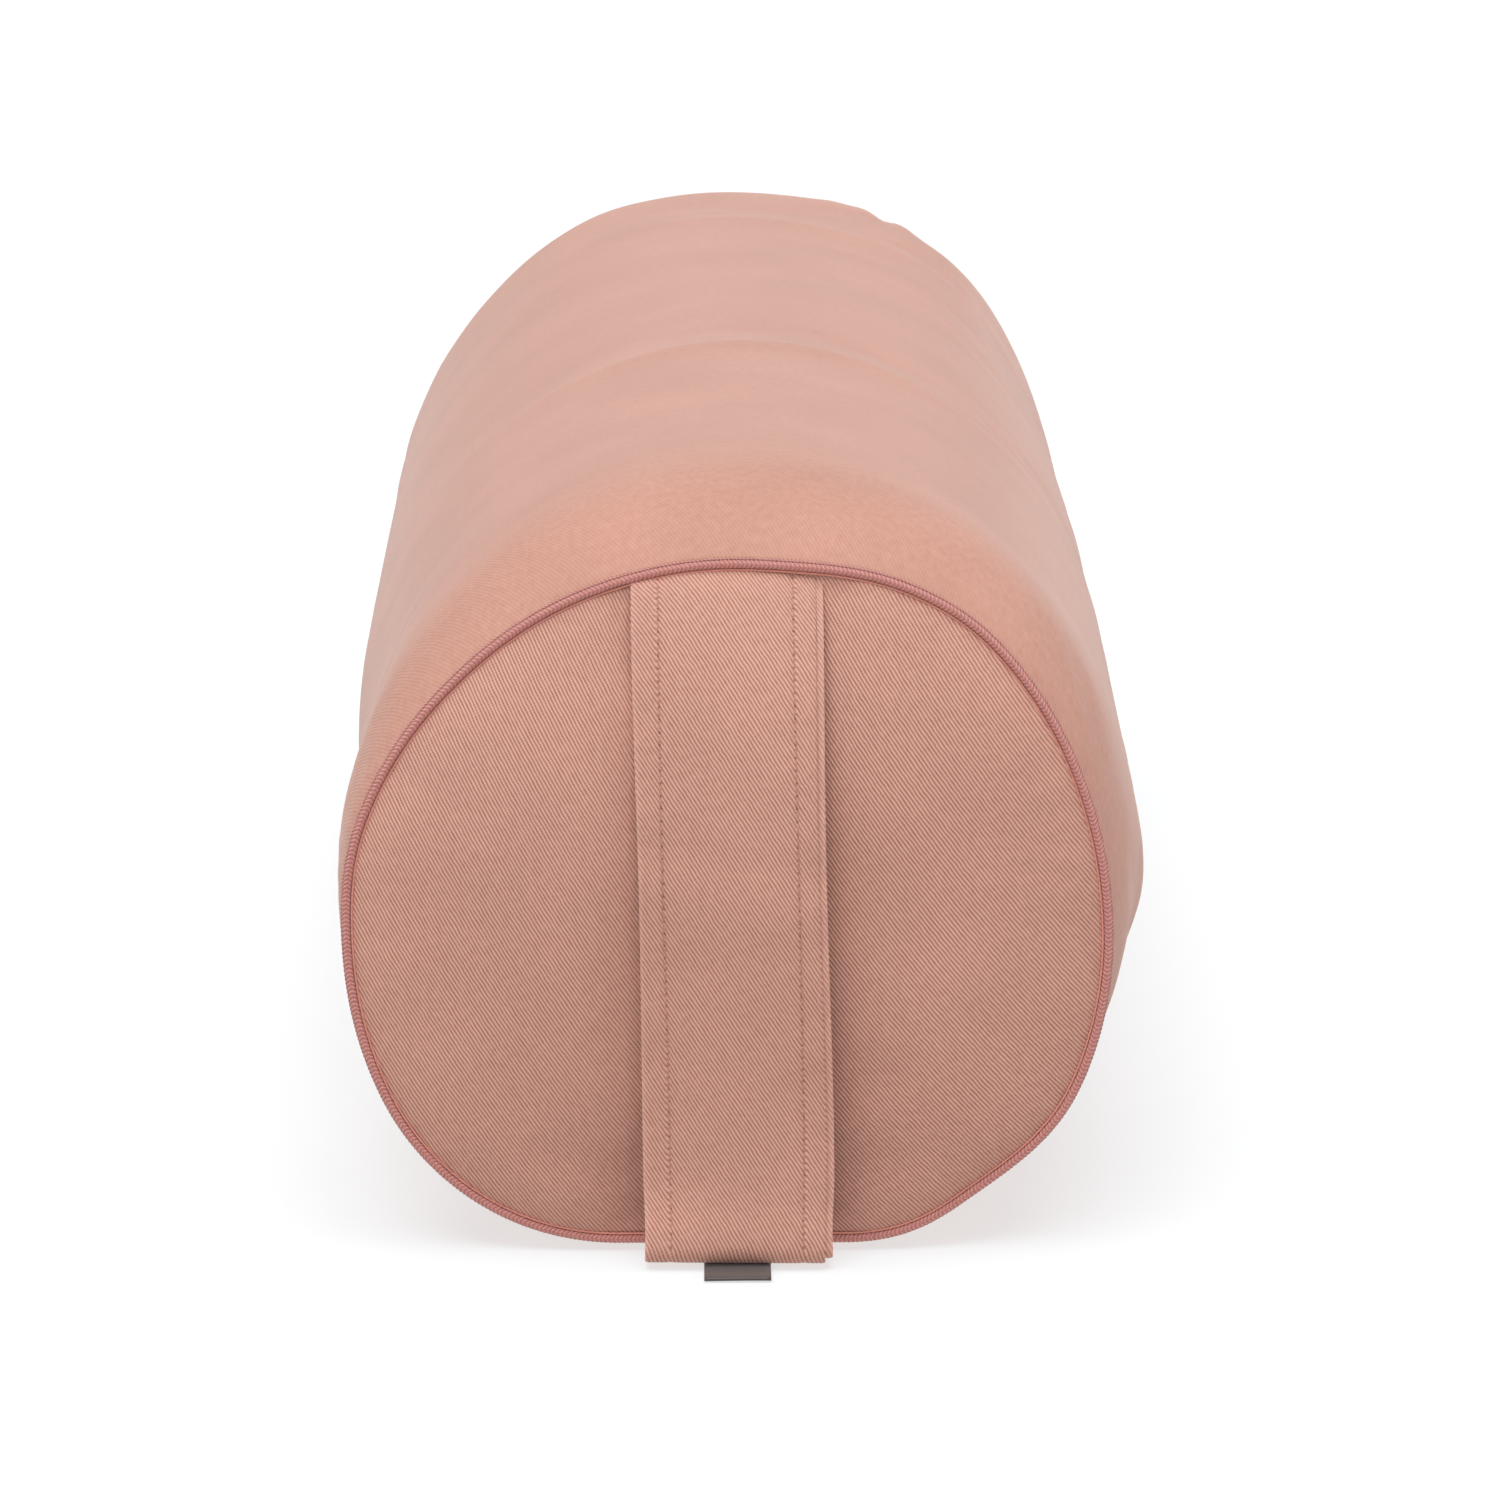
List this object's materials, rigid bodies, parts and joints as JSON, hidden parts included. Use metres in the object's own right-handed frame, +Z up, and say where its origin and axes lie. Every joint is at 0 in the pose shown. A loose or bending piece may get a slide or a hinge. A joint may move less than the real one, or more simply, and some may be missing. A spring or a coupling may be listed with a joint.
{
  "type": "bolster pillow",
  "caption": "Round bolster pillow with a removable piped cloth cover, a carry strap on its front end, lengthwise zips and a liner filled with grain hulls.",
  "frame": {"origin": "middle of the flat underside, on the floor", "axes": "+Z up, +Y along the bolster away from the strap end, +X to the zip side"},
  "size_m": [0.2359, 0.6897, 0.226],
  "materials": {
    "twill": "heavy cotton twill",
    "piping_cord": "braided cord",
    "piping_tape": "woven tape",
    "thread": "sewing thread",
    "zip_tape": "woven polyester tape",
    "zip_coil": "nylon coil",
    "zip_stop": "pressed metal",
    "zip_metal": "nickel plated die casting",
    "loop_label": "satin ribbon, blank",
    "care_label": "satin, blank",
    "liner_cloth": "unbleached cotton cambric",
    "hulls": "loose dry grain hulls"
  },
  "bodies": {
    "cover": {"body_panel": "twill", "front_end_panel": "twill", "rear_end_panel": "twill", "front_piping_cord": "piping_cord", "rear_piping_cord": "piping_cord", "front_piping_tape": "piping_tape", "rear_piping_tape": "piping_tape", "front_seam_stitching": "thread", "rear_seam_stitching": "thread", "loop_label": "loop_label", "care_label": "care_label", "cover_zip_tape_upper": "zip_tape", "cover_zip_tape_lower": "zip_tape", "cover_zip_coil_upper": "zip_coil", "cover_zip_coil_lower": "zip_coil", "cover_zip_top_stops": "zip_stop", "cover_zip_bottom_stop": "zip_stop", "cover_zip_stitching": "thread", "liner_tube": "liner_cloth", "liner_front_end": "liner_cloth", "liner_rear_end": "liner_cloth", "liner_zip_tape_upper": "zip_tape", "liner_zip_tape_lower": "zip_tape", "liner_zip_coil_upper": "zip_coil", "liner_zip_coil_lower": "zip_coil", "liner_zip_top_stops": "zip_stop", "liner_zip_bottom_stop": "zip_stop", "liner_zip_stitching": "thread", "hull_filling": "hulls"},
    "carry_strap": {"carry_strap": "twill", "strap_stitching": "thread"},
    "cover_zip_slider": {"cover_zip_slider": "zip_metal"},
    "cover_zip_pull": {"cover_zip_pull": "zip_metal"},
    "liner_zip_slider": {"liner_zip_slider": "zip_metal"}
  },
  "joints": [
    {"name": "strap_lift", "type": "slide", "parent": "cover", "child": "carry_strap", "axis": [0, -1, 0], "range_m": [0, 0.03], "stiffness_N_per_m": 40},
    {"name": "cover_zip_slide", "type": "slide", "parent": "cover", "child": "cover_zip_slider", "axis": [0, 1, 0], "range_m": [0, 0.4895], "deforming": ["cover_zip_coil_upper", "cover_zip_coil_lower"]},
    {"name": "cover_zip_pull_hinge", "type": "hinge", "parent": "cover_zip_slider", "child": "cover_zip_pull", "pos_m": [0.1054, -0.2465, 0.04715], "axis": [-0.5, 0, -0.866], "range_deg": [0, 175]},
    {"name": "liner_zip_slide", "type": "slide", "parent": "cover", "child": "liner_zip_slider", "axis": [0, 1, 0], "range_m": [0, 0.4125], "deforming": ["liner_zip_coil_upper", "liner_zip_coil_lower"]}
  ]
}
